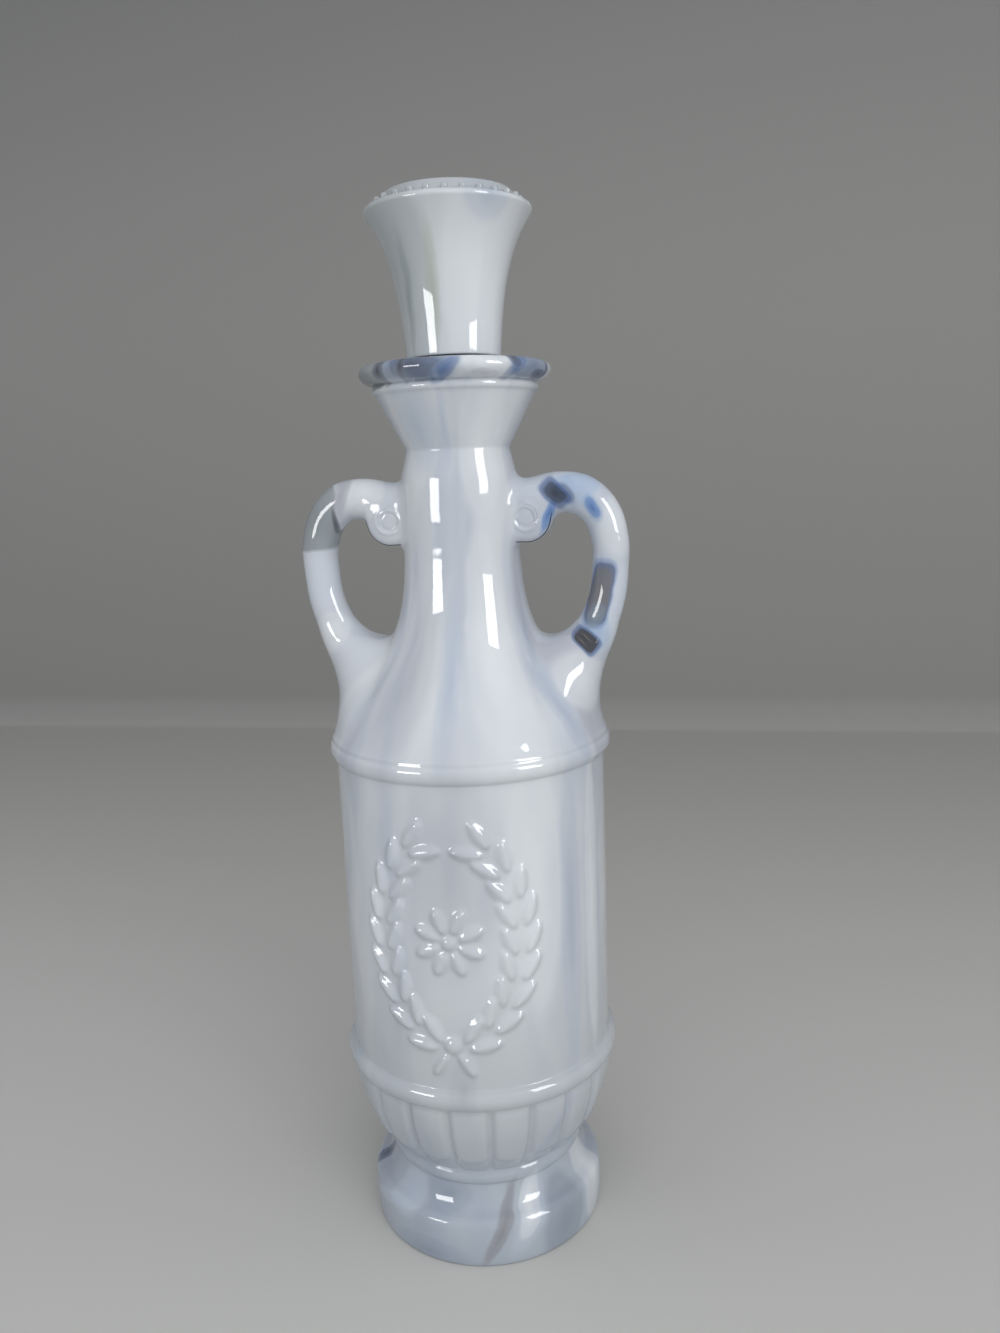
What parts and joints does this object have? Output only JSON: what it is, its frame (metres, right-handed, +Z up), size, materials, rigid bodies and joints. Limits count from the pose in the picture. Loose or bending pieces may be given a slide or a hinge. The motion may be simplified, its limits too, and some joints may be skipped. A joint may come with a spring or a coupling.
{
  "type": "two-handled decanter bottle with stopper",
  "caption": "Amphora-shaped whisky decanter of marbled milk glass with two scroll handles, a gadrooned bowl and a flared glass stopper that lifts out on its sealing plug.",
  "frame": {"origin": "centre of the foot's resting face", "axes": "+Z up along the bottle's axis, +X through the right-hand handle, -Y towards the moulded ornament on the front"},
  "size_m": [0.1074, 0.0934, 0.34],
  "materials": {
    "bottle_glass": "glossy marbled opaque milk glass",
    "stopper_glass": "glossy pressed opaque milk glass",
    "plug_plastic": "natural moulded polyethylene"
  },
  "bodies": {
    "root": {"bottle": "bottle_glass"},
    "stopper": {"stopper_head": "stopper_glass", "stopper_plug": "plug_plastic"}
  },
  "joints": [
    {"name": "stopper_lift", "type": "slide", "parent": "root", "child": "stopper", "axis": [0, 0, 1], "range_m": [0, 0.05]}
  ]
}
